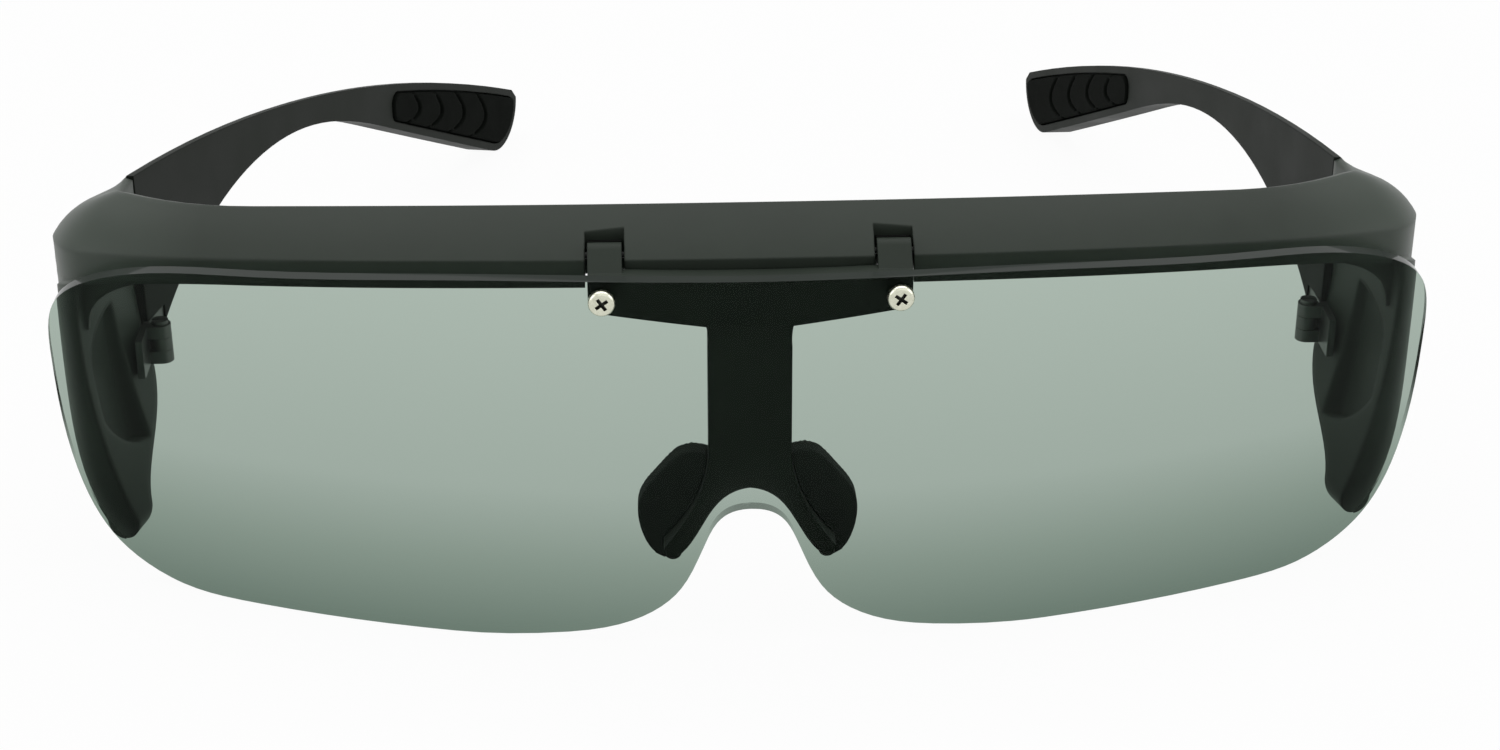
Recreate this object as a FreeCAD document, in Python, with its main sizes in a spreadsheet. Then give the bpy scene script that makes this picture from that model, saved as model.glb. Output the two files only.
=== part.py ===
import FreeCAD, Part
import math
import os
from FreeCAD import Placement, Rotation, Vector

# Flip-up fit-over sunglasses standing on a table: +Z up, the lens faces -Y and the arms run back along +Y.
# The origin lies on the table under the middle of the whole object. Sizes are millimetres and degrees.

SIZES = (
    # Shield lens
    ("lens_half_width", 75.8),
    ("lens_height", 42.5),
    ("lens_radius", 150.0),
    ("lens_thickness", 1.6),
    ("notch_half_width", 13.0),
    ("notch_height", 16.3),
    # Front frame; the brow edge is the front lower edge of the sloped brow face, just above the lens
    ("rim_gap", 2.1),
    ("brow_edge_rise", 0.95),
    ("brow_arc_radius", 400.0),
    ("brow_face_depth", 6.0),
    ("brow_face_rise", 3.7),
    ("brow_crest", 1.1),
    ("lip_thickness", 2.5),
    ("lip_drop", 2.95),
    ("corner_lip_drop", 4.3),
    ("flank_lip_drop", 5.65),
    ("end_lip_drop", 7.1),
    ("corner_drop", 1.9),
    ("flank_drop", 2.6),
    ("corner_swell", 1.2),
    ("side_inset", 15.8),
    ("corner_run", 13.6),
    ("flank_run", 15.9),
    ("flank_back", 12.0),
    ("split_inset", 3.8),
    ("endpiece_length", 19.4),
    ("wall_thickness", 4.0),
    ("wall_lean", 0.24),
    ("wall_recess", 1.4),
    ("post_outset", 0.9),
    ("post_swell", 1.7),
    ("post_depth", 0.9),
    ("post_foot", 3.2),
    ("post_seam", 0.2),
    ("post_lead", 4.0),
    ("foot_inset", 4.8),
    ("foot_radius", 1.9),
    ("gusset_reach", 6.0),
    ("gusset_drop", 5.0),
    ("gusset_depth", 2.2),
    ("stem_half_width", 4.4),
    ("stem_thickness", 2.8),
    ("stem_setback", 0.4),
    ("stem_flare", 4.0),
    ("stem_flare_height", 7.5),
    ("stem_shoulder", 2.65),
    ("leg_rise", 3.6),
    ("leg_spread", 4.6),
    ("leg_drop", 7.1),
    ("arch_rise", 0.4),
    # Nose pads
    ("pad_thickness", 1.5),
    ("pad_sweep", 1.3),
    ("pad_reach", 12.0),
    # Flip hinge between the brow and the lens
    ("bar_half_width", 16.6),
    ("bar_thickness", 1.75),
    ("bar_end_height", 4.2),
    ("bar_mid_height", 5.6),
    ("bar_corner", 1.0),
    ("bar_drop", 0.1),
    ("bay_cover", 1.6),
    ("seat_gap", 0.03),
    ("running_gap", 0.05),
    ("lug_offset", 14.85),
    ("lug_width", 3.5),
    ("slot_clearance", 0.28),
    ("pivot_back", 2.2),
    ("pivot_up", -0.3),
    ("pin_radius", 0.35),
    ("pin_bite", 0.9),
    ("barrel_radius", 1.3),
    ("spring_thickness", 0.25),
    ("spring_height", 2.8),
    # Lens screws
    ("screw_offset", 15.2),
    ("screw_drop", 2.1),
    ("screw_head_radius", 1.4),
    ("screw_head_height", 0.8),
    ("screw_head_round", 0.45),
    ("screw_shank_radius", 0.6),
    ("screw_recess_depth", 0.5),
    ("screw_recess_width", 0.38),
    ("screw_recess_length", 1.5),
    ("screw_recess_turn", 35.0),
    # Temple hinge
    ("split_gap", 0.15),
    ("knuckle_radius", 1.2),
    ("knuckle_inset", 0.3),
    ("knuckle_height", 1.5),
    ("knuckle_gap", 0.06),
    ("hinge_height", 20.0),
    ("hinge_screw_radius", 0.55),
    ("hinge_screw_head_radius", 0.95),
    ("hinge_screw_head_height", 0.5),
    ("hinge_screw_slot_width", 0.3),
    ("leaf_thickness", 0.8),
    ("leaf_inset", 0.6),
    ("leaf_length", 5.0),
    # Temples; left_turn is how far the left one stands folded in
    ("temple_length", 118.8),
    ("temple_thickness", 4.0),
    ("temple_turn", 4.5),
    ("temple_bow", 8.5),
    ("temple_top_drop", 3.15),
    ("temple_fall", 13.9),
    ("temple_tip_top", 7.2),
    ("temple_root_low", 16.8),
    ("root_slope", 0.85),
    ("waist_distance", 42.0),
    ("waist_height", 4.4),
    ("ridge_width", 0.8),
    ("bevel_drop", 4.6),
    ("bevel_tip_drop", 1.2),
    ("tip_radius", 6.2),
    ("tip_run", 46.0),
    ("tip_run_height", 5.9),
    ("panel_depth", 0.4),
    ("panel_border", 1.9),
    ("panel_length", 37.0),
    ("left_turn", 9.6),
    # Tip pads let into the inner faces of the temples
    ("tip_pad_length", 42.0),
    ("tip_pad_depth", 1.2),
    ("tip_pad_proud", 0.35),
    ("tip_pad_border", 1.1),
    ("tip_pad_gap", 0.25),
    ("tip_pad_corner", 1.6),
    ("groove_width", 1.0),
    ("groove_depth", 0.55),
    ("groove_start", 7.6),
    ("groove_pitch", 7.4),
    ("groove_sweep", 11.0),
)
GROOVE_COUNT = 4
LOFT_DEGREE = 2
# Longer than anything on the object, for outlines that are swept right through it
REACH = 400.0

doc = FreeCAD.newDocument("FlipUpSunglasses")
size = doc.addObject("Spreadsheet::Sheet", "Sizes")
for row, (alias, value) in enumerate(SIZES, start=1):
    size.set("A%d" % row, alias)
    size.set("B%d" % row, str(value))
    size.setAlias("B%d" % row, alias)
doc.recompute()

# Nested cylinders about the upright lens axis, which stands behind the lens
lens_back_radius = size.lens_radius - size.lens_thickness
rim_radius = lens_back_radius - size.rim_gap
stem_radius = rim_radius - size.stem_setback
bar_radius = lens_back_radius - size.seat_gap


def depth_of(radius, x):
    """How far a cylinder about the lens axis lies behind the front of the lens, at the given x."""
    return size.lens_radius - math.sqrt(radius * radius - x * x)


# The screw heads stand out in front and the temple tips end the object behind: the origin is halfway
side_x = size.lens_half_width - size.side_inset
head_seat = depth_of(size.lens_radius, size.screw_offset - size.screw_head_radius) - size.seat_gap
foremost = head_seat - size.screw_head_height
rearmost = depth_of(rim_radius, side_x) + size.endpiece_length + size.temple_length
lens_front_y = -0.5 * (foremost + rearmost)
lens_axis_y = lens_front_y + size.lens_radius


def back_of(radius, x):
    """The y of the front of a cylinder about the lens axis, at the given x."""
    return lens_front_y + depth_of(radius, x)


# Places of the endpieces and of the split between frame and temple
side_y = back_of(rim_radius, side_x)
corner_x = side_x + size.corner_run
corner_y = back_of(rim_radius, corner_x) + 0.2
flank_x = side_x + size.flank_run
flank_y = side_y + size.flank_back
split_x = size.lens_half_width - size.split_inset
split_y = side_y + size.endpiece_length
wall_inner = split_x - size.wall_thickness

# Heights of the brow, the temples and the nose arch
brow_edge = size.lens_height + size.brow_edge_rise
temple_top = brow_edge - size.temple_top_drop
temple_droop = temple_top - size.temple_fall - size.temple_tip_top
arch_height = size.notch_height + size.arch_rise

# Places of the flip hinge
pivot_y = back_of(rim_radius, 0) + size.pivot_back
pivot_z = brow_edge + size.pivot_up
slot_half = size.lug_width / 2 + size.slot_clearance
spring_front = pivot_y + size.barrel_radius + size.running_gap
slot_back = spring_front + size.spring_thickness
bar_top = size.lens_height - size.bar_drop
screw_z = bar_top - size.screw_drop
screw_y = lens_front_y + head_seat

# Places of the temple hinge
hinge_x = wall_inner - size.knuckle_inset - size.knuckle_radius
leaf_outer = wall_inner + size.leaf_inset
leaf_inner = leaf_outer - size.leaf_thickness
stack_height = 3 * size.knuckle_height + 2 * size.knuckle_gap
stack_low = size.hinge_height - stack_height / 2
knuckle_pitch = size.knuckle_height + size.knuckle_gap


# Drawing helpers
def disc(radius):
    """A tall cylinder about the lens axis."""
    return Part.makeCylinder(radius, REACH, Vector(0, lens_axis_y, -REACH / 2))


def shell(outer_radius, thickness):
    """A tall tube about the lens axis."""
    return disc(outer_radius).cut(disc(outer_radius - thickness))


def front(x, z):
    """A point of a front view outline, ahead of the whole object."""
    return Vector(x, -REACH / 2, z)


def behind(distance, z):
    """A point of a side view outline, by its distance behind the split."""
    return Vector(0, split_y + distance, z)


def spline(points, first=None, last=None):
    """A smooth edge through the points, with end directions where they are given."""
    curve = Part.BSplineCurve()
    if first and last:
        curve.interpolate(Points=points, InitialTangent=first, FinalTangent=last)
    else:
        curve.interpolate(points)
    return curve.toShape()


def arc(start, middle, stop):
    return Part.Arc(start, middle, stop).toShape()


def polyline(points):
    """Straight edges from point to point."""
    return [Part.makeLine(a, b) for a, b in zip(points, points[1:])]


def prism(edges, along):
    """The solid that a closed outline sweeps along a vector."""
    wire = Part.Wire(Part.__sortEdges__(edges))
    return Part.Face(wire).extrude(along)


def front_prism(half_edges):
    """The solid behind a front view outline, drawn by its right half, as far as the lens axis."""
    outline = half_edges + [mirror_x(edge) for edge in half_edges]
    return prism(outline, Vector(0, lens_axis_y + REACH / 2, 0))


def side_prism(edges):
    """The solid beside a side view outline, over the right half of the object."""
    return prism(edges, Vector(REACH, 0, 0))


def rod(radius, length, start, direction):
    return Part.makeCylinder(radius, length, start, direction)


def box(x0, x1, y0, y1, z0, z1):
    return Part.makeBox(x1 - x0, y1 - y0, z1 - z0, Vector(x0, y0, z0))


def mirror_x(shape):
    return shape.mirror(Vector(0, 0, 0), Vector(1, 0, 0))


def only_solid(shape):
    """The one solid that a boolean left."""
    if len(shape.Solids) != 1:
        raise ValueError("expected one solid, found %d" % len(shape.Solids))
    return shape.Solids[0]


X_AXIS = Vector(1, 0, 0)
Y_AXIS = Vector(0, 1, 0)
Z_AXIS = Vector(0, 0, 1)


# Shield lens
def lens_solid():
    w = size.lens_half_width
    top = size.lens_height
    mouth = size.notch_half_width
    notch = size.notch_height
    right = spline([
        front(0, top),
        front(0.41 * w, 0.984 * top),
        front(0.686 * w, 0.938 * top),
        front(0.91 * w, 0.86 * top),
        front(0.988 * w, 0.755 * top),
        front(w, 0.6 * top),
        front(0.982 * w, 0.306 * top),
        front(0.925 * w, 0.104 * top),
        front(0.842 * w, 0.021 * top),
        front(0.71 * w, 0),
    ], X_AXIS, -X_AXIS)
    low = Part.makeLine(front(0.71 * w, 0), front(2.46 * mouth, 0))
    nose = spline([
        front(2.46 * mouth, 0),
        front(1.62 * mouth, 0.043 * notch),
        front(mouth, 0.153 * notch),
        front(0.615 * mouth, 0.368 * notch),
        front(0.36 * mouth, 0.78 * notch),
        front(0, notch),
    ], -X_AXIS, -X_AXIS)
    lens = front_prism([right, low, nose]).common(shell(size.lens_radius, size.lens_thickness))
    hole_radius = size.screw_shank_radius + size.running_gap
    for side in (-1, 1):
        lens = lens.cut(rod(hole_radius, REACH, front(side * size.screw_offset, screw_z), Y_AXIS))
    return only_solid(lens)


# Front frame: a brow rail lofted from one split to the other, with posts, walls and stem joined to it
def brow_height(x):
    return brow_edge - x * x / (2 * size.brow_arc_radius)


def rail_section(edge, heading, depth, rise, bulge, crest, back, back_rise, lip, lip_drop):
    """Closed section of the rail from its front lower edge; heading is 0 at the nose, 90 at the side."""
    turn = math.radians(heading)
    inward = Vector(-math.sin(turn), math.cos(turn), 0)
    face_top = edge + inward * depth + Z_AXIS * rise
    normal = (Z_AXIS * depth - inward * rise).normalize()
    face_mid = (edge + face_top) * 0.5 + normal * bulge
    crest_back = face_top + inward * crest - Z_AXIS * (0.4 * crest)
    back_low = edge + inward * back + Z_AXIS * back_rise
    lip_back = edge + inward * lip - Z_AXIS * lip_drop
    lip_front = edge - Z_AXIS * lip_drop
    face = [arc(edge, face_mid, face_top)]
    return Part.Wire(face + polyline([face_top, crest_back, back_low, lip_back, lip_front, edge]))


def rail_solid():
    depth = size.brow_face_depth
    rise = size.brow_face_rise
    lip = size.lip_thickness
    drop = size.lip_drop
    crest = size.brow_crest
    wall = size.wall_thickness
    low = brow_height(side_x)
    half = []
    for x in (0.0, 0.36 * side_x, 0.72 * side_x, side_x):
        edge = Vector(x, back_of(rim_radius, x), brow_height(x))
        heading = math.degrees(math.asin(x / rim_radius))
        half.append((edge, heading, depth, rise, 0.25, crest, depth + 0.9, 0.3, lip, drop))
    deeper = depth + size.corner_swell
    taller = rise + 0.8 * size.corner_swell
    corner = Vector(corner_x, corner_y, low - size.corner_drop)
    half.append((corner, 48, deeper, taller, 0.8, crest, deeper + 0.9, 0.6, lip + 0.6, size.corner_lip_drop))
    flank = Vector(flank_x, flank_y, low - size.flank_drop)
    half.append((
        flank, 76, deeper, taller, 1.0, 0.5 * crest, deeper + 0.6, 1.0, lip + 1.2, size.flank_lip_drop,
    ))
    end = Vector(split_x, split_y, temple_top - size.bevel_drop)
    slope = wall - size.ridge_width
    half.append((end, 90, slope, size.bevel_drop, 0.3, size.ridge_width, wall, 1.4, wall, size.end_lip_drop))
    right = [rail_section(*station) for station in half]
    left = [mirror_x(wire) for wire in right[:0:-1]]
    return Part.makeLoft(left + right, True, False, False, LOFT_DEGREE)


def corner_envelope():
    """Everything inside the rim and the rounded right corner by a seam, in plan."""
    seam = size.post_seam
    middle = 0.5 * side_x
    start = Vector(0, back_of(rim_radius, 0) + seam, 0)
    side = Vector(side_x, side_y + seam, 0)
    end = Vector(split_x - seam, split_y, 0)
    rim = arc(start, Vector(middle, back_of(rim_radius, middle) + seam, 0), side)
    turn = math.asin(side_x / rim_radius)
    swell_x = corner_x + size.post_swell
    swell = Vector(swell_x, back_of(rim_radius, swell_x) + seam, 0)
    corner = spline(
        [side, swell, Vector(flank_x - seam, flank_y, 0), end],
        Vector(math.cos(turn), math.sin(turn), 0), Vector(-0.4, 1, 0),
    )
    back = polyline([end, Vector(0, split_y, 0), start])
    return prism([rim, corner] + back, Z_AXIS * REACH)


def post_solid():
    """Right post and side wall: the post's outline swept back, cut by the corner and a slanted rear edge."""
    outer = size.lens_half_width + size.post_outset
    inner = outer - size.wall_thickness
    foot = size.post_foot
    lip_low = brow_height(side_x) - size.corner_drop - size.corner_lip_drop
    top = lip_low + 0.3 * size.corner_lip_drop
    tall = top - foot
    foot_outer = front(outer - size.foot_inset, foot + size.foot_radius)
    foot_low = foot_outer - X_AXIS * size.foot_radius - Z_AXIS * size.foot_radius
    foot_inner = foot_outer - X_AXIS * (2 * size.foot_radius) + Z_AXIS * (0.3 * size.foot_radius)
    under_brow = front(inner + 0.15 * size.wall_thickness, top)
    shoulder = front(outer - 0.3 * size.post_swell, lip_low)
    outline = [
        Part.makeLine(under_brow, shoulder),
        spline([
            shoulder, front(outer, foot + 0.66 * tall),
            front(outer - 0.5 * size.foot_inset, foot + 0.2 * tall), foot_outer,
        ]),
        arc(foot_outer, foot_low, foot_inner),
        spline([
            foot_inner, front(inner - 0.3 * size.foot_inset, foot + 0.38 * tall),
            front(inner, foot + 0.63 * tall), front(inner, top),
        ]),
        Part.makeLine(front(inner, top), under_brow),
    ]
    start = back_of(rim_radius, inner) - size.post_lead
    for edge in outline:
        edge.translate(Vector(0, start + REACH / 2, 0))
    sweep = Vector(-size.wall_lean * (split_y - start), split_y - start, 0)
    strip = prism(outline, sweep).common(corner_envelope())
    tip = back_of(rim_radius, foot_low.x) + size.post_depth - split_y
    rear = [
        behind(tip, -1.0), behind(tip + 1.5, foot + 3.0),
        behind(0.5 * tip, 0.6 * size.temple_root_low), behind(0, size.temple_root_low),
    ]
    ahead = -REACH / 2
    keep = [spline(rear)]
    keep += polyline([rear[-1], behind(0, REACH), behind(ahead, REACH), behind(ahead, -1.0), rear[0]])
    wall = strip.common(side_prism(keep))
    clear_of_leaf = -size.leaf_length - 0.6
    drop_top = behind(clear_of_leaf - 0.6, 0.82 * top)
    drop_low = behind(clear_of_leaf - 0.8, 0.6 * size.temple_root_low + 1.0)
    drop_middle = 0.5 * (drop_top.z + drop_low.z)
    drop = [
        arc(drop_low, behind(clear_of_leaf, drop_middle), drop_top),
        arc(drop_top, behind(tip - 0.6, drop_middle + 1.5), drop_low),
    ]
    shifted = wall.copy()
    shifted.translate(X_AXIS * (size.wall_recess - size.wall_thickness))
    gusset = gusset_solid(inner - size.post_lead * size.wall_lean, lip_low)
    return only_solid(wall.cut(side_prism(drop).common(shifted)).fuse(gusset))


def gusset_solid(inner, lip_low):
    """Rounded inner corner between the lip and the right post, drawn from the post's inner edge."""
    reach = size.gusset_reach
    drop = size.gusset_drop
    within = inner + 0.4 * size.wall_thickness
    low = front(inner, lip_low - drop)
    far = front(inner - reach, lip_low + 0.36 * drop)
    edges = [spline([
        low, front(inner - 0.14 * reach, lip_low - 0.4 * drop),
        front(inner - 0.45 * reach, lip_low), far,
    ])]
    edges += polyline([far, front(within, lip_low + 0.18 * drop), front(within, low.z), low])
    block = prism(edges, Vector(0, lens_axis_y + REACH / 2, 0))
    return block.common(shell(rim_radius - 2 * size.post_seam, size.gusset_depth))


def stem_solid():
    half_width = size.stem_half_width
    arch = arch_height
    spread = size.leg_spread
    drop = size.leg_drop
    head = brow_edge - 0.3 * size.bay_cover
    shoulder = brow_edge - size.stem_shoulder
    flare = half_width + size.stem_flare
    flare_foot = shoulder - size.stem_flare_height
    right = polyline([front(0, head), front(flare, head), front(flare, shoulder)])
    right.append(arc(
        front(flare, shoulder),
        front(half_width + 0.22 * size.stem_flare, shoulder - 0.41 * size.stem_flare_height),
        front(half_width, flare_foot),
    ))
    right += polyline([front(half_width, flare_foot), front(half_width, arch + size.leg_rise)])
    leg_outer = front(half_width + spread, arch - drop)
    leg_inner = front(half_width + 0.65 * spread, arch - 1.13 * drop)
    right.append(spline([
        front(half_width, arch + size.leg_rise), front(half_width + 0.15 * spread, arch),
        front(half_width + 0.52 * spread, arch - 0.535 * drop), leg_outer,
    ]))
    right.append(arc(leg_outer, front(half_width + 0.98 * spread, arch - 1.2 * drop), leg_inner))
    right.append(spline([
        leg_inner, front(half_width + 0.22 * spread, arch - 0.72 * drop),
        front(half_width - 0.26 * spread, arch - 0.225 * drop), front(0, arch),
    ]))
    return only_solid(front_prism(right).common(shell(stem_radius, size.stem_thickness)))


def leaf_pocket(side_of_split):
    """Pocket for the plate of a right hinge leaf, ahead of the split (-1) or behind it (1)."""
    room = size.seat_gap
    far = side_of_split * (size.leaf_length + room)
    y0, y1 = sorted((split_y, split_y + far))
    top = stack_low + stack_height
    return box(hinge_x, leaf_outer + room, y0, y1, stack_low - room, top + room)


def frame_solid():
    bay = size.bar_half_width + size.slot_clearance
    bay_top = brow_edge - size.bay_cover
    rail = rail_solid().cut(box(-bay, bay, -REACH, slot_back, 0, bay_top))
    post = post_solid()
    frame = rail.fuse([post, mirror_x(post), stem_solid()]).removeSplitter()
    pin_length = 2 * (slot_half + size.pin_bite)
    for side in (-1, 1):
        middle = side * size.lug_offset
        frame = frame.cut(box(middle - slot_half, middle + slot_half, -REACH, slot_back, 0, REACH))
        start = Vector(middle - pin_length / 2, pivot_y, pivot_z)
        frame = frame.cut(rod(size.pin_radius + size.seat_gap, pin_length, start, X_AXIS))
    pocket = leaf_pocket(-1)
    return only_solid(frame.cut(pocket).cut(mirror_x(pocket)))


# Hinge bar behind the lens with its two lugs
def lug_profile():
    """Side view of a lug's arm: from the bar's top along a tangent to the barrel and back underneath."""
    front_y = back_of(bar_radius, size.lug_offset) + 0.5
    back_y = back_of(bar_radius - size.bar_thickness, size.lug_offset)
    reach = math.hypot(pivot_y - front_y, pivot_z - bar_top)
    climb = math.atan2(pivot_z - bar_top, pivot_y - front_y) + math.asin(size.barrel_radius / reach)
    tangent = math.sqrt(reach ** 2 - size.barrel_radius ** 2)
    touch = Vector(0, front_y + tangent * math.cos(climb), bar_top + tangent * math.sin(climb))
    root_z = bar_top - 1.6
    return polyline([
        Vector(0, front_y, bar_top), touch, Vector(0, pivot_y, pivot_z),
        Vector(0, pivot_y, pivot_z - size.barrel_radius), Vector(0, back_y, root_z),
        Vector(0, front_y, root_z), Vector(0, front_y, bar_top),
    ])


def bar_solid():
    half = size.bar_half_width
    corner = size.bar_corner
    low_mid = bar_top - size.bar_mid_height
    low_end = bar_top - size.bar_end_height
    turn = corner * (1 - math.sqrt(0.5))
    right = polyline([front(0, bar_top), front(half, bar_top), front(half, low_end + corner)])
    right.append(arc(
        front(half, low_end + corner), front(half - turn, low_end + turn), front(half - corner, low_end)
    ))
    right += polyline([
        front(half - corner, low_end), front(size.stem_half_width, low_mid), front(0, low_mid),
    ])
    bar = front_prism(right).common(shell(bar_radius, size.bar_thickness))
    for side in (-1, 1):
        start = side * size.lug_offset - size.lug_width / 2
        arm = prism(lug_profile(), X_AXIS * size.lug_width)
        arm.translate(X_AXIS * start)
        barrel = rod(size.barrel_radius, size.lug_width, Vector(start, pivot_y, pivot_z), X_AXIS)
        bar = bar.fuse([arm, barrel])
    bar = bar.removeSplitter()
    bore = rod(size.pin_radius + size.running_gap, REACH, Vector(-REACH / 2, pivot_y, pivot_z), X_AXIS)
    bar = bar.cut(bore)
    for side in (-1, 1):
        bar = bar.cut(rod(size.screw_shank_radius, REACH, front(side * size.screw_offset, screw_z), Y_AXIS))
    return only_solid(bar)


# Nose pads: curved plates that sweep back and outward from the legs of the arch
def nose_pad_solid(frame):
    half_width = size.stem_half_width
    arch = arch_height
    reach = size.pad_reach
    spread = size.leg_spread
    drop = size.leg_drop
    top = front(half_width - 0.09 * spread, arch + 0.94 * size.leg_rise)
    low = front(half_width + 0.74 * spread, arch - 1.24 * drop)
    outline = [Part.makeLine(low, top), spline([
        top, front(half_width + 0.48 * spread, arch + 0.72 * size.leg_rise),
        front(half_width + 1.17 * spread, arch - 0.17 * drop),
        front(reach, arch - 0.93 * drop), front(0.883 * reach, arch - 1.32 * drop), low,
    ])]
    along = (low - top).normalize()
    outward = Vector(-along.z, 0, along.x)
    root = Vector(top.x, back_of(stem_radius, half_width) + 0.6, top.z) - along * reach

    def curve(offset):
        start = root + Y_AXIS * offset - outward * 0.4
        stop = root + outward * reach + Y_AXIS * (reach * size.pad_sweep + offset)
        return start, (start + stop) * 0.5 + outward * 0.9, stop

    near = curve(0)
    far = curve(size.pad_thickness * math.hypot(1, size.pad_sweep))
    edges = [arc(*near), arc(*far), Part.makeLine(near[0], far[0]), Part.makeLine(near[2], far[2])]
    plate = prism(edges, along * (4 * reach))
    return only_solid(plate.common(prism(outline, Y_AXIS * REACH)).cut(frame))


# Right temple in its open place
def temple_line(distance, offset):
    """Plan point of the right temple: distance behind the split, offset outward from the inner face."""
    turn = math.radians(size.temple_turn)
    along = Vector(-math.sin(turn), math.cos(turn), 0)
    outward = Vector(math.cos(turn), math.sin(turn), 0)
    bow = size.temple_bow * (distance / size.temple_length) ** 2
    return Vector(wall_inner, split_y, 0) + along * distance + outward * (offset - bow)


def temple_band(inner_offset, outer_offset):
    """Tall solid between two plan curves that follow the temple."""
    length = 1.08 * size.temple_length
    inner = [temple_line(d, inner_offset) for d in (-1.0, length / 2, length)]
    outer = [temple_line(d, outer_offset) for d in (-1.0, length / 2, length)]
    edges = [arc(*inner), arc(*outer), Part.makeLine(inner[0], outer[0]), Part.makeLine(inner[2], outer[2])]
    band = prism(edges, Z_AXIS * REACH)
    band.translate(Z_AXIS * (-REACH / 2))
    return band


def temple_top_height(distance):
    """Height of the upper edge, which droops more and more towards the tip."""
    share = distance / size.temple_length
    return temple_top - size.temple_fall * share - temple_droop * share ** 2


def tip_slant():
    """Fall of the straight lower edge, which touches the round tip and starts below the upper edge."""
    start = size.temple_length - size.tip_run
    level = size.tip_run - size.tip_radius
    fall = temple_top_height(start) - size.tip_run_height - size.tip_radius
    return math.atan2(fall, level) + math.asin(size.tip_radius / math.hypot(fall, level))


def tip_direction():
    """Directions along the straight lower edge, towards the tip, and square to it, upward."""
    slant = tip_slant()
    along = Vector(0, math.cos(slant), -math.sin(slant))
    across = Vector(0, math.sin(slant), math.cos(slant))
    return along, across


def temple_low_height(distance):
    """Height of the straight lower edge ahead of the round tip."""
    slant = tip_slant()
    centre = size.temple_length - size.tip_radius
    return size.tip_radius - size.tip_radius / math.cos(slant) + (centre - distance) * math.tan(slant)


def temple_prism(inset):
    """Side view of the temple, shrunk by inset, swept sideways."""
    along, across = tip_direction()
    centre = behind(size.temple_length - size.tip_radius, size.tip_radius)
    radius = size.tip_radius - inset
    end = centre + Y_AXIS * radius
    near_end = size.temple_length - 1.4 - inset
    tip_top = behind(near_end, temple_top_height(near_end) - inset)
    low = centre - across * radius
    waist = behind(size.waist_distance, temple_top_height(size.waist_distance) - size.waist_height + inset)
    run_distance = size.temple_length - size.tip_run
    run = behind(run_distance, temple_low_height(run_distance) + inset)
    root_low = behind(size.split_gap, size.temple_root_low + inset)
    root_top = behind(size.split_gap, temple_top_height(0) - inset)
    middle = 0.5 * size.temple_length
    edges = [
        arc(root_top, behind(middle, temple_top_height(middle) - inset), tip_top),
        Part.makeLine(tip_top, end),
        arc(end, centre - Z_AXIS * radius, low),
        Part.makeLine(low, run),
        spline([run, waist, root_low], -along, Vector(0, -1, -size.root_slope)),
        Part.makeLine(root_low, root_top),
    ]
    return side_prism(edges)


def bevel_solid():
    """What the slope along the outer top edge takes off, narrowing towards the tip."""
    sections = []
    beyond = size.temple_thickness + 1.0
    for share in (-0.02, 0.3, 0.6, 1.02):
        distance = share * size.temple_length
        drop = size.bevel_drop + share * (size.bevel_tip_drop - size.bevel_drop)
        fall = drop * (beyond - size.ridge_width) / (size.temple_thickness - size.ridge_width)
        top = Z_AXIS * temple_top_height(distance)
        ridge = temple_line(distance, size.ridge_width) + top
        outer = temple_line(distance, beyond) + top
        above = outer + Z_AXIS * size.bevel_drop
        sections.append(Part.Wire(polyline([ridge, outer - Z_AXIS * fall, above, ridge])))
    return Part.makeLoft(sections, True, False)


def pad_region(room, inner_offset):
    """Part of the temple's inner side that a tip pad takes up, with some room round it."""
    start = split_y + size.temple_length - size.tip_pad_length - room
    outline = temple_prism(size.tip_pad_border + size.tip_pad_gap - room)
    outline = outline.common(box(0, REACH, start, REACH, -REACH, REACH))
    corners = [edge for edge in outline.Edges if edge.BoundBox.YMax < start + size.seat_gap]
    corners = [edge for edge in corners if edge.BoundBox.XLength > size.temple_thickness]
    outline = outline.makeFillet(size.tip_pad_corner, corners)
    return outline.common(temple_band(inner_offset, size.tip_pad_depth))


def panel_region():
    """Shallow panel in the inner face, from the root to near the waist."""
    region = temple_prism(size.panel_border).common(temple_band(-1.0, size.panel_depth))
    return region.common(box(0, REACH, split_y, split_y + size.panel_length, -REACH, REACH))


def temple_solid():
    temple = temple_prism(0).common(temple_band(0, size.temple_thickness))
    temple = temple.cut(bevel_solid())
    pocket = pad_region(size.tip_pad_gap, -1.0)
    return only_solid(temple.cut(pocket).cut(panel_region()).cut(leaf_pocket(1)))


def tip_pad_solid():
    pad = pad_region(0, -size.tip_pad_proud)
    skin = temple_band(-2.0, size.groove_depth - size.tip_pad_proud)
    along, across = tip_direction()
    first = size.temple_length - size.tip_pad_length + size.groove_start
    for index in range(GROOVE_COUNT):
        distance = first + index * size.groove_pitch
        half_height = 0.5 * (temple_top_height(distance) - temple_low_height(distance))
        point = behind(distance, temple_low_height(distance) + half_height)
        ends = [point - along * size.groove_sweep + across * (s * half_height) for s in (1, -1)]
        step = along * size.groove_width
        groove = side_prism([
            spline([ends[0], point, ends[1]]),
            spline([ends[0] + step, point + step, ends[1] + step]),
            Part.makeLine(ends[0], ends[0] + step),
            Part.makeLine(ends[1], ends[1] + step),
        ])
        pad = pad.cut(groove.common(skin))
    return only_solid(pad)


# Document objects
def add_shape(label, shape, placement=Placement()):
    """A sub-part whose shape is worked out from the sheet."""
    part = doc.addObject("Part::Feature", label)
    part.Label = label
    part.Shape = shape
    part.Placement = placement
    return part


def add_primitive(kind, name, base, rotation=Rotation(), **bindings):
    """A primitive whose sizes are bound to the sheet."""
    part = doc.addObject(kind, name)
    for prop, expression in bindings.items():
        part.setExpression(prop, expression)
    part.Placement = Placement(base, rotation)
    return part


def add_fuse(name, parts):
    fuse = doc.addObject("Part::MultiFuse", name)
    fuse.Shapes = parts
    return fuse


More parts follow.
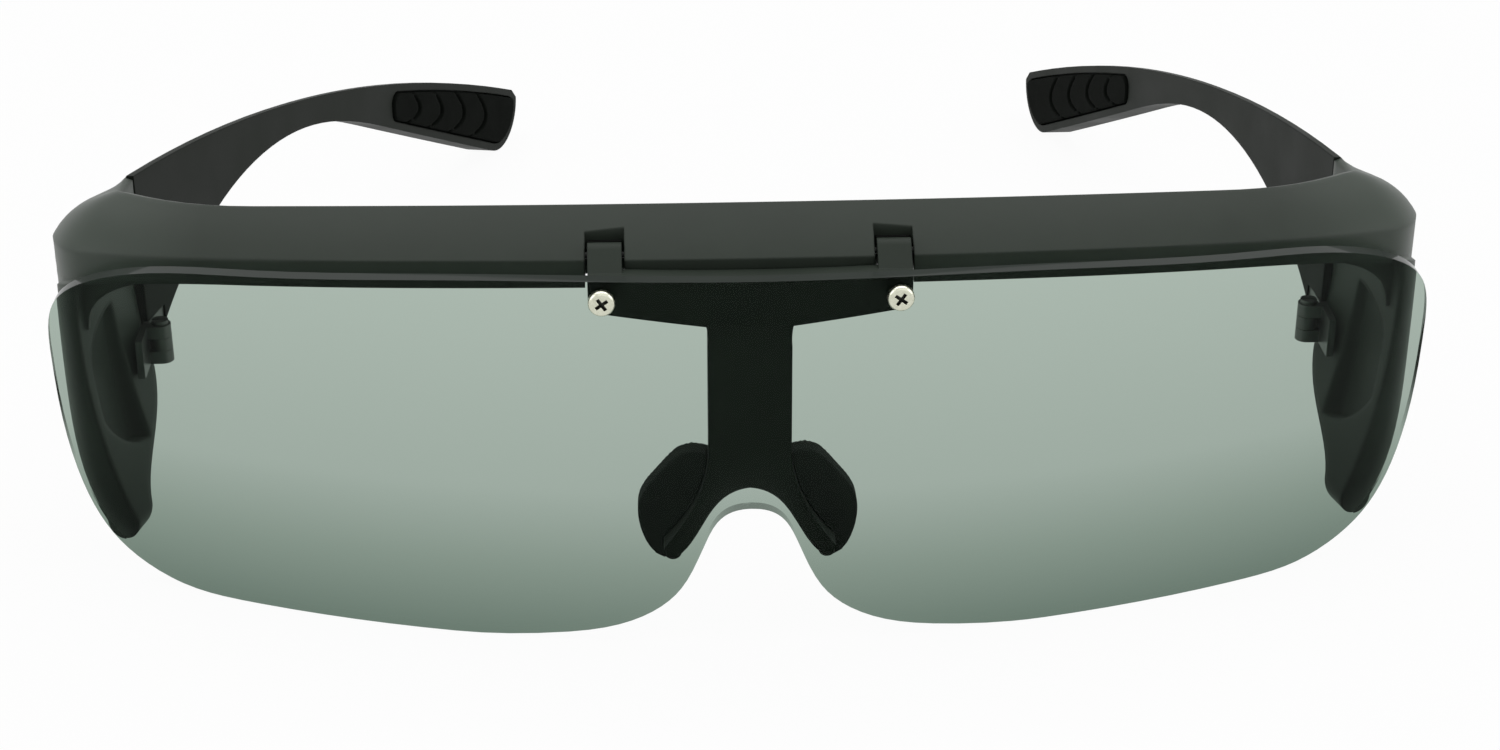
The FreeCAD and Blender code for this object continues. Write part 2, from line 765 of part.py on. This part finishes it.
def add_cut(name, base, tool):
    cut = doc.addObject("Part::Cut", name)
    cut.Base = base
    cut.Tool = tool
    return cut


def add_mirror(label, source):
    """The left twin of a right sub-part."""
    twin = doc.addObject("Part::Mirroring", label)
    twin.Label = label
    twin.Source = source
    twin.Normal = X_AXIS
    return twin


ALONG_X = Rotation(Y_AXIS, 90)
ALONG_Y = Rotation(X_AXIS, -90)


def add_flip_pin():
    length = "Sizes.lug_width + 2 * Sizes.slot_clearance + 2 * Sizes.pin_bite"
    start = Vector(size.lug_offset - slot_half - size.pin_bite, pivot_y, pivot_z)
    return add_primitive(
        "Part::Cylinder", "flip_pin_right", start, ALONG_X, Radius="Sizes.pin_radius", Height=length
    )


def add_detent_spring():
    base = Vector(size.lug_offset - size.lug_width / 2, spring_front, pivot_z - 0.65 * size.spring_height)
    return add_primitive(
        "Part::Box", "detent_spring_right", base,
        Length="Sizes.lug_width", Width="Sizes.spring_thickness", Height="Sizes.spring_height",
    )


def add_lens_screw():
    """Pan head on the lens, shank through it into the bar, cross recess in the head."""
    seat = Vector(size.screw_offset, screw_y, screw_z)
    head_front = seat - Y_AXIS * size.screw_head_height
    head = add_primitive(
        "Part::Cylinder", "screw_head", head_front, ALONG_Y,
        Radius="Sizes.screw_head_radius", Height="Sizes.screw_head_height",
    )
    doc.recompute()
    round_head = doc.addObject("Part::Fillet", "screw_round_head")
    round_head.Base = head
    rims = [
        (index, size.screw_head_round, size.screw_head_round)
        for index, edge in enumerate(head.Shape.Edges, start=1)
        if edge.BoundBox.YMax < head_front.y + 0.01
    ]
    round_head.Edges = rims
    shank = add_primitive(
        "Part::Cylinder", "screw_shank", seat - Y_AXIS * (size.screw_head_height / 2), ALONG_Y,
        Radius="Sizes.screw_shank_radius",
        Height="Sizes.screw_head_height / 2 + Sizes.lens_thickness + Sizes.bar_thickness",
    )
    slots = []
    for turn in (0, 90):
        spin = Rotation(Y_AXIS, size.screw_recess_turn + turn)
        corner = spin.multVec(Vector(-size.screw_recess_length / 2, 0, -size.screw_recess_width / 2))
        slots.append(add_primitive(
            "Part::Box", "screw_slot_%d" % turn, head_front + corner, spin,
            Length="Sizes.screw_recess_length",
            Width="Sizes.screw_recess_depth",
            Height="Sizes.screw_recess_width",
        ))
    solid = add_fuse("screw_blank", [round_head, shank])
    return add_cut("lens_screw_right", solid, add_fuse("screw_cross", slots))


def add_hinge_leaf(name, side_of_split, knuckles, bore_gap):
    """Plate let into the plastic, with knuckles on the hinge axis and webs that join them to the plate."""
    plate_y = split_y + (size.split_gap if side_of_split > 0 else -size.leaf_length)
    plate = add_primitive(
        "Part::Box", name + "_plate", Vector(leaf_inner, plate_y, stack_low),
        Length="Sizes.leaf_thickness", Width="Sizes.leaf_length - Sizes.split_gap",
        Height="3 * Sizes.knuckle_height + 2 * Sizes.knuckle_gap",
    )
    pieces = [plate]
    web_y = split_y + (size.split_gap if side_of_split > 0 else -size.knuckle_radius)
    for index in knuckles:
        foot = stack_low + index * knuckle_pitch
        pieces.append(add_primitive(
            "Part::Cylinder", "%s_knuckle_%d" % (name, index), Vector(hinge_x, split_y, foot),
            Radius="Sizes.knuckle_radius", Height="Sizes.knuckle_height",
        ))
        pieces.append(add_primitive(
            "Part::Box", "%s_web_%d" % (name, index), Vector(hinge_x, web_y, foot),
            Length="Sizes.knuckle_radius + Sizes.knuckle_inset",
            Width="Sizes.knuckle_radius - Sizes.split_gap", Height="Sizes.knuckle_height",
        ))
    bore = add_primitive(
        "Part::Cylinder", name + "_bore", Vector(hinge_x, split_y, stack_low - 1.0),
        Radius="Sizes.hinge_screw_radius + Sizes." + bore_gap,
        Height="3 * Sizes.knuckle_height + 2 * Sizes.knuckle_gap + 2",
    )
    return add_cut(name, add_fuse(name + "_blank", pieces), bore)


def add_hinge_screw():
    shank = add_primitive(
        "Part::Cylinder", "hinge_shank", Vector(hinge_x, split_y, stack_low),
        Radius="Sizes.hinge_screw_radius",
        Height="3 * Sizes.knuckle_height + 2 * Sizes.knuckle_gap + Sizes.hinge_screw_head_height",
    )
    top = stack_low + stack_height
    head = add_primitive(
        "Part::Cylinder", "hinge_head", Vector(hinge_x, split_y, top),
        Radius="Sizes.hinge_screw_head_radius", Height="Sizes.hinge_screw_head_height",
    )
    slot = add_primitive(
        "Part::Box", "hinge_slot",
        Vector(
            hinge_x - size.hinge_screw_head_radius, split_y - size.hinge_screw_slot_width / 2,
            top + size.hinge_screw_head_height / 2,
        ),
        Length="2 * Sizes.hinge_screw_head_radius", Width="Sizes.hinge_screw_slot_width",
        Height="Sizes.hinge_screw_head_height",
    )
    return add_cut("hinge_screw_right", add_fuse("hinge_screw_blank", [shank, head]), slot)


parts = [add_shape("shield_lens", lens_solid()), add_shape("hinge_bar", bar_solid())]
frame_shape = frame_solid()
parts.append(add_shape("front_frame", frame_shape))

# Right pieces of the front, each with a mirrored left twin
rights = [
    add_shape("nose_pad_right", nose_pad_solid(frame_shape)),
    add_flip_pin(),
    add_detent_spring(),
    add_lens_screw(),
    add_hinge_leaf("frame_leaf_right", -1, (0, 2), "seat_gap"),
    add_hinge_screw(),
]
parts += rights
parts += [add_mirror(part.Name.replace("right", "left"), part) for part in rights]

# Right temple pieces, and left twins turned in about the left hinge axis
temple_rights = [
    add_shape("temple_right", temple_solid()),
    add_shape("tip_pad_right", tip_pad_solid()),
    add_hinge_leaf("temple_leaf_right", 1, (1,), "running_gap"),
]
doc.recompute()
left_axis = Vector(-hinge_x, split_y, 0)
folded_in = Placement(Vector(0, 0, 0), Rotation(Z_AXIS, -size.left_turn), left_axis)
parts += temple_rights
for part in temple_rights:
    parts.append(add_shape(part.Name.replace("right", "left"), mirror_x(part.Shape), folded_in))
doc.recompute()

# Nothing is written unless every object is sound
for item in doc.Objects:
    if "Invalid" in item.State or "Error" in item.State:
        raise RuntimeError("%s failed to build" % item.Name)
for part in parts:
    if part.Shape.isNull() or not part.Shape.isValid() or len(part.Shape.Solids) != 1:
        raise RuntimeError("%s is not one sound solid" % part.Name)
os.makedirs("parts", exist_ok=True)
for part in parts:
    part.Shape.exportStep("parts/%s.step" % part.Name)
    print("%-20s %8.1f mm3  %s" % (part.Name, part.Shape.Volume, part.Shape.optimalBoundingBox(True)))
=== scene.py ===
import math

import bpy
from mathutils import Matrix, Vector


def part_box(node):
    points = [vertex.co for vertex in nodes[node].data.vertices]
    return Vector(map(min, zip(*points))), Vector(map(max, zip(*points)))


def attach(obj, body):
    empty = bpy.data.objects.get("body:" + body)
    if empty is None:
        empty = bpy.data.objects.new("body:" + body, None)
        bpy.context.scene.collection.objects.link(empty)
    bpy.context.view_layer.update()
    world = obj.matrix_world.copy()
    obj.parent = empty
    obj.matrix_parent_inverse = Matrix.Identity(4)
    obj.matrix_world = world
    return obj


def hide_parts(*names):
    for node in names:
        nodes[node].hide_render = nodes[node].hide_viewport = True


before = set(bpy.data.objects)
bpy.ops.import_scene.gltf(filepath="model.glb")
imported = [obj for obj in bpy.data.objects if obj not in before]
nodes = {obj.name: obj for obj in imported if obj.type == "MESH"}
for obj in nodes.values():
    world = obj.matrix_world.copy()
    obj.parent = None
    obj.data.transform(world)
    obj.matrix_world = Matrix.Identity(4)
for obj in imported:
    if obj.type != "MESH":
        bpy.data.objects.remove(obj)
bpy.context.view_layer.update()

MM = 0.001
WHITE = (1, 1, 1, 1)

# Where a noise, which runs from 0 to 1, has its low and high ends
NOISE_LOW = 0.3
NOISE_HIGH = 0.7

# Drawn marks on metal: their size and depth in mm
MARK_SIZE = 0.35
MARK_DEPTH = 0.006


# Material helpers
class Tree:
    """A new material whose output comes from one Principled shader, with helpers to add nodes to it."""

    def __init__(self, name, **values):
        self.material = bpy.data.materials.new(name)
        self.material.use_nodes = True
        self.nodes = self.material.node_tree.nodes
        self.links = self.material.node_tree.links
        self.shader = self.nodes["Principled BSDF"]
        self.output = self.nodes["Material Output"]
        for socket, value in values.items():
            self.shader.inputs[socket.replace("_", " ")].default_value = value
        coordinates = self.nodes.new("ShaderNodeTexCoord")
        self.place = coordinates.outputs["Object"]
        self.normal = coordinates.outputs["Normal"]

    def link(self, start, end):
        self.links.new(start, end)

    def feed(self, start, socket):
        """Link to a socket of the shader."""
        self.link(start, self.shader.inputs[socket])

    def node(self, kind, inputs=None, **settings):
        """A node with its settings; an input is a number, a colour or the socket that feeds it."""
        made = self.nodes.new("ShaderNode" + kind)
        for name, value in settings.items():
            setattr(made, name, value)
        for name, value in (inputs or {}).items():
            if isinstance(value, bpy.types.NodeSocket):
                self.link(value, made.inputs[name])
            else:
                made.inputs[name].default_value = value
        return made

    def math(self, operation, *values):
        return self.node("Math", dict(enumerate(values)), operation=operation).outputs["Value"]

    def vector(self, operation, *values, result="Vector"):
        return self.node("VectorMath", dict(enumerate(values)), operation=operation).outputs[result]

    def axes(self):
        """The place on the object, as separate X, Y and Z."""
        return self.node("SeparateXYZ", {"Vector": self.place}).outputs

    def noise(self, feature_mm, detail=2.0, roughness=0.5, stretch=(1, 1, 1)):
        """Noise with features of about that size, stretched along the axes."""
        place = self.node("Mapping", {"Vector": self.place, "Scale": stretch}).outputs["Vector"]
        scale = 1 / (feature_mm * MM)
        inputs = {"Vector": place, "Scale": scale, "Detail": detail, "Roughness": roughness}
        return self.node("TexNoise", inputs).outputs["Fac"]

    def ramp(self, factor, stops):
        """Colours by place along the factor."""
        made = self.node("ValToRGB", {"Fac": factor})
        elements = made.color_ramp.elements
        while len(elements) < len(stops):
            elements.new(0.5)
        for element, (place, colour) in zip(elements, stops):
            element.position = place
            element.color = (*colour, 1)
        return made.outputs["Color"]

    def shades(self, noise, dark, light, high=NOISE_HIGH):
        """A colour between dark and light by a noise."""
        return self.ramp(noise, [(NOISE_LOW, dark), (high, light)])

    def blend(self, factor, first, second):
        """The first colour where the factor is 0, the second where it is 1."""
        return self.node("MixRGB", {"Fac": factor, "Color1": first, "Color2": second}).outputs["Color"]

    def spread(self, factor, low, high, start=NOISE_LOW, stop=NOISE_HIGH):
        """A number that runs from low to high as the factor does from start to stop."""
        inputs = {"Value": factor, "From Min": start, "From Max": stop, "To Min": low, "To Max": high}
        return self.node("MapRange", inputs).outputs["Result"]

    def relief(self, heights, depth_mm, radius):
        """Surface relief over edges rounded by a radius in metres, or by the socket that gives it."""
        edge = self.node("Bevel", {"Radius": radius}, samples=6).outputs["Normal"]
        for height, depth in zip(heights, depth_mm):
            inputs = {"Height": height, "Distance": depth * MM, "Strength": 1.0, "Normal": edge}
            edge = self.node("Bump", inputs).outputs["Normal"]
        self.feed(edge, "Normal")

    def mix_with(self, other, factor):
        """Send the output a mix of the Principled shader, where the factor is 0, and another, where it is 1."""
        mixed = self.node("MixShader", {"Fac": factor})
        self.link(self.shader.outputs["BSDF"], mixed.inputs[1])
        self.link(other, mixed.inputs[2])
        self.link(mixed.outputs["Shader"], self.output.inputs["Surface"])


def plastic(name, dark, light, gloss, smooth, rough, grain_depth, round_mm, corner_mm=None, corner_highlight=None):
    """Moulded plastic: a faint cloudiness in colour and gloss over a fine spark-eroded grain.

    Its edges are rounded by round_mm. With corner_mm and a lighter colour, the left and right ends are rounded by
    that much and lightened to that colour, a painted highlight on the frame's corners and side walls.
    """
    cloud_size = 9.0
    cloud_depth = 0.02
    grain_size = 0.16
    rounder_from = 45 * MM
    rounder_to = 65 * MM
    corner_highlight_from = 58 * MM
    corner_highlight_to = 72 * MM
    tree = Tree(name, Specular_IOR_Level=gloss)
    cloud = tree.noise(cloud_size, detail=4.0)
    grain = tree.noise(grain_size)
    colour = tree.shades(cloud, dark, light)
    radius = round_mm * MM
    if corner_mm:
        across = tree.math("ABSOLUTE", tree.axes()["X"])
        radius = tree.spread(across, round_mm * MM, corner_mm * MM, rounder_from, rounder_to)
        # Painted highlight: from 58 to 72 mm out to each side the colour is lightened, standing in for light on the
        # corners and side walls
        corner_highlight_mask = tree.spread(across, 0.0, 1.0, corner_highlight_from, corner_highlight_to)
        colour = tree.blend(corner_highlight_mask, colour, (*corner_highlight, 1))
    tree.feed(colour, "Base Color")
    tree.feed(tree.spread(cloud, smooth, rough), "Roughness")
    tree.relief([cloud, grain], [cloud_depth, grain_depth], radius)
    return tree.material


def rubber(name, dark, light, gloss):
    """Soft matt rubber with a cloudy bloom and a fine grain."""
    bloom_size = 4.0
    bloom_depth = 0.03
    bloom_high = 0.75
    grain_size = 0.12
    grain_depth = 0.02
    edge_radius = 0.1 * MM
    tree = Tree(name, Specular_IOR_Level=gloss)
    bloom = tree.noise(bloom_size, detail=5.0, roughness=0.6)
    grain = tree.noise(grain_size, detail=3.0, roughness=0.6)
    tree.feed(tree.shades(bloom, dark, light, bloom_high), "Base Color")
    tree.feed(tree.spread(grain, 0.62, 0.8), "Roughness")
    tree.relief([bloom, grain], [bloom_depth, grain_depth], edge_radius)
    return tree.material


def metal(name, dark, light, smooth, rough, stretch):
    """Blackened steel with fine drawn marks."""
    edge_radius = 0.1 * MM
    tree = Tree(name, Metallic=1.0)
    marks = tree.noise(MARK_SIZE, detail=4.0, roughness=0.65, stretch=stretch)
    tree.feed(tree.shades(marks, dark, light), "Base Color")
    tree.feed(tree.spread(marks, smooth, rough), "Roughness")
    tree.relief([marks], [MARK_DEPTH], edge_radius)
    return tree.material


def screw_metal(name, dark, light, recess_shade):
    """Bright plated screw whose cross recess is painted dark as shade: deep behind the face and close to the axis.
    """
    recess_from = 0.1 * MM
    recess_to = 0.3 * MM
    recess_inside = 0.75 * MM
    recess_outside = 0.85 * MM
    edge_radius = 0.12 * MM
    tree = Tree(name, Metallic=1.0)
    head_low, head_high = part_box("lens_screw_right")
    axis_x = 0.5 * (head_low[0] + head_high[0])
    axis_z = 0.5 * (head_low[2] + head_high[2])
    place = tree.axes()
    side = tree.math("ABSOLUTE", place["X"])
    flat = tree.node("CombineXYZ", {"X": side, "Z": place["Z"]}).outputs["Vector"]
    radius = tree.vector("DISTANCE", flat, (axis_x, 0, axis_z), result="Value")
    depth = tree.spread(place["Y"], 0.0, 1.0, head_low[1] + recess_from, head_low[1] + recess_to)
    inner = tree.spread(radius, 1.0, 0.0, recess_inside, recess_outside)
    recess = tree.math("MULTIPLY", depth, inner)
    marks = tree.noise(MARK_SIZE, detail=4.0, roughness=0.65)
    plated = tree.shades(marks, dark, light)
    # Painted shade: the cross recess is blended to a near-black colour where it lies deep behind the face and close
    # to the axis
    tree.feed(tree.blend(recess, plated, (*recess_shade, 1)), "Base Color")
    tree.feed(tree.spread(marks, 0.2, 0.32), "Roughness")
    tree.relief([marks], [MARK_DEPTH], edge_radius)
    return tree.material


def tinted_lens(name):
    """Clear lens tinted grey-green, and darker towards its lower edge by painted shade, the shadowed floor seen
    through it.

    Its rim is ground and dark at the top and sides, and as clear as the faces along the lower edge. Rays that light
    what lies behind pass straight through with the same colour, and so do all rays at the clear rim.
    """
    lens_radius = 150 * MM
    cloud_size = 24.0
    # Painted shade: these stops darken from the top of the lens to its lower edge, standing in for the shadowed
    # floor seen through it; the grey-green itself is the lens's own colour
    tint_and_shade_stops = [
        (0.0, (0.15, 0.205, 0.168)),
        (0.2, (0.235, 0.3, 0.253)),
        (0.42, (0.345, 0.415, 0.365)),
        (1.0, (0.41, 0.487, 0.43)),
    ]
    ground_dark = (0.035, 0.042, 0.037)
    ground_light = (0.045, 0.053, 0.047)
    tree = Tree(name, IOR=1.12)
    lens_low, lens_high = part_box("shield_lens")
    place = tree.axes()
    cloud = tree.noise(cloud_size)
    height = tree.spread(place["Z"], 0.0, 1.0, lens_low[2], lens_high[2])
    tint_and_shade = tree.ramp(height, tint_and_shade_stops)
    axis = (0, lens_low[1] + lens_radius, 0)
    level = tree.node("CombineXYZ", {"X": place["X"], "Y": place["Y"]}).outputs["Vector"]
    outward = tree.vector("NORMALIZE", tree.vector("SUBTRACT", level, axis))
    facing = tree.math("ABSOLUTE", tree.vector("DOT_PRODUCT", outward, tree.normal, result="Value"))
    face = tree.spread(facing, 0.0, 1.0, 0.5, 0.7)
    low_edge = tree.spread(height, 1.0, 0.0, 0.3, 0.5)
    clear = tree.math("MAXIMUM", face, low_edge)
    clear_rim = tree.math("SUBTRACT", clear, face)
    colour = tree.blend(clear, tree.shades(cloud, ground_dark, ground_light), tint_and_shade)
    tree.feed(colour, "Base Color")
    tree.feed(clear, "Transmission Weight")
    tree.feed(tree.spread(cloud, 0.01, 0.03), "Roughness")
    path = tree.node("LightPath").outputs
    lighting = tree.math("MAXIMUM", path["Is Shadow Ray"], path["Is Diffuse Ray"])
    tint_and_shade_per_face = tree.node("Gamma", {"Color": colour, "Gamma": 0.5}).outputs["Color"]
    straight = tree.node("BsdfTransparent", {"Color": tint_and_shade_per_face}).outputs["BSDF"]
    tree.mix_with(straight, tree.math("MAXIMUM", lighting, clear_rim))
    return tree.material


def dress(material, *names):
    for name in names:
        mesh = nodes[name].data
        mesh.materials.clear()
        mesh.materials.append(material)


def pair(name):
    return name + "_left", name + "_right"


shell = plastic(
    "satin_black_shell", dark=(0.024, 0.0315, 0.0242), light=(0.029, 0.0372, 0.0292), gloss=0.17,
    smooth=0.36, rough=0.44, grain_depth=0.0012, round_mm=0.3, corner_mm=1.1, corner_highlight=(0.058, 0.071, 0.059),
)
arm_black = plastic(
    "matt_black_arm", dark=(0.0115, 0.0145, 0.0115), light=(0.015, 0.0182, 0.0145), gloss=0.04,
    smooth=0.42, rough=0.52, grain_depth=0.002, round_mm=0.3,
)
bar_black = plastic(
    "black_hinge_bar", dark=(0.022, 0.029, 0.0222), light=(0.026, 0.0335, 0.0262), gloss=0.12,
    smooth=0.38, rough=0.48, grain_depth=0.0012, round_mm=0.2,
)
tip_rubber = rubber(
    "black_tip_rubber", dark=(0.0034, 0.0043, 0.0034), light=(0.0056, 0.0067, 0.0056), gloss=0.015,
)
nose_rubber = rubber(
    "black_nose_rubber", dark=(0.028, 0.0335, 0.029), light=(0.038, 0.0445, 0.039), gloss=0.04,
)
bright = screw_metal(
    "bright_screw", dark=(0.54, 0.55, 0.44), light=(0.66, 0.67, 0.55), recess_shade=(0.02, 0.021, 0.018),
)
steel = metal(
    "blackened_steel", dark=(0.1, 0.105, 0.1), light=(0.15, 0.155, 0.148), smooth=0.3, rough=0.44,
    stretch=(1, 1, 0.1),
)
blued = metal(
    "black_pin_steel", dark=(0.016, 0.017, 0.016), light=(0.024, 0.025, 0.024), smooth=0.34, rough=0.46,
    stretch=(0.1, 1, 1),
)
lens = tinted_lens("grey_green_lens")

dress(shell, "front_frame")
dress(arm_black, *pair("temple"))
dress(bar_black, "hinge_bar")
dress(lens, "shield_lens")
dress(bright, *pair("lens_screw"))
for part in ("frame_leaf", "temple_leaf", "hinge_screw"):
    dress(steel, *pair(part))
for part in ("flip_pin", "detent_spring"):
    dress(blued, *pair(part))


# Soft pads: moulded rubber with rounded edges and groove lips
PAD_VOXEL = 0.17 * MM


def soft_pad(node, body, material, rounds):
    """A rubber piece in the place of a plain pad solid, its edges rounded by that many rounds of smoothing."""
    piece = bpy.data.objects.new(node + "_soft", nodes[node].data.copy())
    bpy.context.scene.collection.objects.link(piece)
    remesh = piece.modifiers.new("skin", "REMESH")
    remesh.mode = "VOXEL"
    remesh.voxel_size = PAD_VOXEL
    smooth = piece.modifiers.new("round", "SMOOTH")
    smooth.factor = 0.5
    smooth.iterations = rounds
    graph = bpy.context.evaluated_depsgraph_get()
    mesh = bpy.data.meshes.new_from_object(piece.evaluated_get(graph))
    piece.modifiers.clear()
    piece.data = mesh
    mesh.materials.clear()
    mesh.materials.append(material)
    for face in mesh.polygons:
        face.use_smooth = True
    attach(piece, body)
    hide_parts(node)


for side in ("left", "right"):
    soft_pad("tip_pad_" + side, "arm_" + side, tip_rubber, rounds=3)
    soft_pad("nose_pad_" + side, "frame", nose_rubber, rounds=6)


# Stage: a pale floor that keeps the shadow, and a world that is white behind the object
def seen_directly(tree_nodes, links):
    """1 for rays from the camera, or by way of a gloss or through the lens; 0 for the rays that light a surface."""
    path = tree_nodes.new("ShaderNodeLightPath")
    total = path.outputs["Is Camera Ray"]
    for ray in ("Is Glossy Ray", "Is Transmission Ray"):
        larger = tree_nodes.new("ShaderNodeMath")
        larger.operation = "MAXIMUM"
        links.new(total, larger.inputs[0])
        links.new(path.outputs[ray], larger.inputs[1])
        total = larger.outputs["Value"]
    return total


def pale_floor():
    """A wide floor just under the object, so that no face of the object lies in it."""
    reach = 6.0
    under = -0.1 * MM
    white_share = 0.95
    mottle_size = 40.0
    mesh = bpy.data.meshes.new("floor")
    corners = [(-reach, -reach, under), (reach, -reach, under), (reach, reach, under), (-reach, reach, under)]
    mesh.from_pydata(corners, [], [(0, 1, 2, 3)])
    floor = bpy.data.objects.new("floor", mesh)
    bpy.context.scene.collection.objects.link(floor)
    tree = Tree("pale_floor", Roughness=0.9, Specular_IOR_Level=0.1)
    mottle = tree.noise(mottle_size, detail=3.0)
    tree.feed(tree.shades(mottle, (0.86, 0.86, 0.86), (0.88, 0.88, 0.88)), "Base Color")
    white = tree.node("Emission", {"Color": WHITE, "Strength": 1.0}).outputs["Emission"]
    tree.mix_with(white, tree.math("MULTIPLY", seen_directly(tree.nodes, tree.links), white_share))
    tree.material.cycles.emission_sampling = "NONE"
    mesh.materials.append(tree.material)


def white_world(light):
    """A world that is white where it is seen, and lights surfaces at the given level."""
    world = bpy.data.worlds.new("studio")
    bpy.context.scene.world = world
    world.use_nodes = True
    tree_nodes = world.node_tree.nodes
    links = world.node_tree.links
    tree_nodes.clear()
    mixed = tree_nodes.new("ShaderNodeMixShader")
    output = tree_nodes.new("ShaderNodeOutputWorld")
    links.new(seen_directly(tree_nodes, links), mixed.inputs["Fac"])
    for place, strength in ((1, light), (2, 1.0)):
        ground = tree_nodes.new("ShaderNodeBackground")
        ground.inputs["Color"].default_value = WHITE
        ground.inputs["Strength"].default_value = strength
        links.new(ground.outputs["Background"], mixed.inputs[place])
    links.new(mixed.outputs["Shader"], output.inputs["Surface"])


def aim(thing, place, target):
    """Put a lamp or camera at a place, looking at the target."""
    look = (Vector(target) - Vector(place)).to_track_quat("-Z", "Y").to_matrix().to_4x4()
    thing.matrix_world = Matrix.Translation(Vector(place)) @ look


def area_lamp(name, place, width, height, watts):
    """A soft rectangular lamp that looks at the middle of the object's front."""
    front_middle = (0.0, -0.03, 0.03)
    lamp = bpy.data.lights.new(name, "AREA")
    lamp.shape = "RECTANGLE"
    lamp.size = width
    lamp.size_y = height
    lamp.energy = watts
    lamp_object = bpy.data.objects.new(name, lamp)
    bpy.context.scene.collection.objects.link(lamp_object)
    aim(lamp_object, place, front_middle)


pale_floor()
white_world(light=0.28)
area_lamp("top_softbox", (0.0, 0.1, 0.8), width=1.2, height=0.8, watts=4.4)
area_lamp("front_softbox", (0.15, -0.8, 0.45), width=0.7, height=0.5, watts=0.4)
area_lamp("side_softbox_left", (-0.7, -0.3, 0.35), width=0.5, height=0.5, watts=1.3)
area_lamp("side_softbox_right", (0.7, -0.3, 0.35), width=0.5, height=0.5, watts=1.3)


# Camera: from slightly above and a little to the left of the middle
def photo_camera():
    elevation = math.radians(26.5)
    yaw = math.radians(-2.377)
    roll = math.radians(-0.033)
    distance = 0.28
    target = Vector((-0.18 * MM, -77.288 * MM, 32.03 * MM))
    away = Vector((
        math.sin(yaw) * math.cos(elevation), -math.cos(yaw) * math.cos(elevation), math.sin(elevation),
    ))
    camera = bpy.data.cameras.new("camera")
    camera.sensor_width = 36.0
    camera.lens = 65.5
    camera.clip_start = 0.01
    camera.clip_end = 20.0
    camera_object = bpy.data.objects.new("camera", camera)
    bpy.context.scene.collection.objects.link(camera_object)
    aim(camera_object, target + away * distance, target)
    camera_object.matrix_world = camera_object.matrix_world @ Matrix.Rotation(roll, 4, "Z")
    bpy.context.scene.camera = camera_object


photo_camera()
bpy.context.scene.view_settings.view_transform = "Standard"

bpy.context.view_layer.update()
